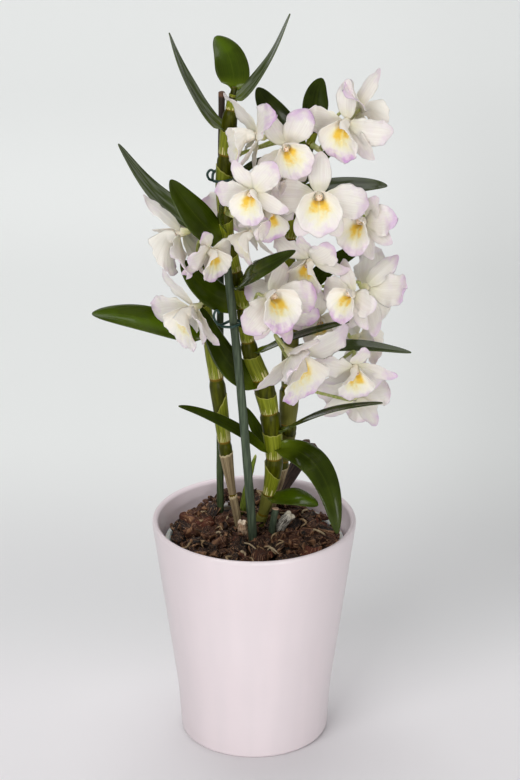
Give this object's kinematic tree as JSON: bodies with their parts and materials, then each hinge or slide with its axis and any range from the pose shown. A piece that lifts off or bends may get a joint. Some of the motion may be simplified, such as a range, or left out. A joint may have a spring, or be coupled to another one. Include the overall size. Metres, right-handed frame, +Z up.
{
  "type": "potted dendrobium orchid",
  "caption": "Flowering orchid with jointed green canes, strap leaves and sprays of white lilac-tipped blooms, tied to stakes in bark in a pale pink pot.",
  "frame": {"origin": "centre of the outer pot's flat base, on the surface that it stands on", "axes": "+Z up along the pot's axis towards the blooms; -Y is the front, the side that the most blooms face; +X is to the viewer's right from the front"},
  "size_m": [0.2056, 0.1494, 0.5005],
  "materials": {
    "pot": "satin pale pink glaze",
    "liner": "pale translucent-looking plastic",
    "bark": "rough dark brown bark chips",
    "cane": "satin green stem with pale papery sheaths",
    "leaf": "waxy dark green leaf",
    "bloom": "soft white petals with lilac tips and a yellow throat",
    "stake": "matt dark green stained stick",
    "wire": "dark green coated wire",
    "husk": "dry papery straw",
    "old_cane": "flaky brown old cane"
  },
  "bodies": {
    "root": {"outer_pot": "pot", "liner_pot": "liner", "bark": "bark", "cane_main": "cane", "cane_right": "cane", "cane_left": "cane", "stake_front": "stake", "stake_tall": "stake", "stake_right": "stake", "cane_old": "old_cane", "shoot_young": "cane", "stub_cut": "husk", "stub_dry": "husk", "tie_upper": "wire", "tie_lower": "wire", "leaf_01": "leaf", "leaf_02": "leaf", "leaf_03": "leaf", "leaf_04": "leaf", "leaf_05": "leaf", "leaf_06": "leaf", "leaf_07": "leaf", "leaf_08": "leaf", "leaf_09": "leaf", "leaf_10": "leaf", "leaf_11": "leaf", "leaf_12": "leaf", "leaf_13": "leaf", "leaf_14": "leaf", "leaf_15": "leaf", "leaf_16": "leaf", "leaf_17": "leaf", "leaf_18": "leaf", "leaf_19": "leaf", "leaf_20": "leaf", "leaf_21": "leaf", "leaf_22": "leaf", "leaf_23": "leaf", "leaf_24": "leaf", "spray_crown": "bloom", "spray_top_right": "bloom", "spray_upper_right": "bloom", "spray_upper_left": "bloom", "spray_middle": "bloom", "spray_middle_front": "bloom", "spray_middle_right": "bloom", "spray_lower_right": "bloom", "spray_left": "bloom", "spray_back": "bloom", "spray_left_low": "bloom"}
  },
  "joints": []
}
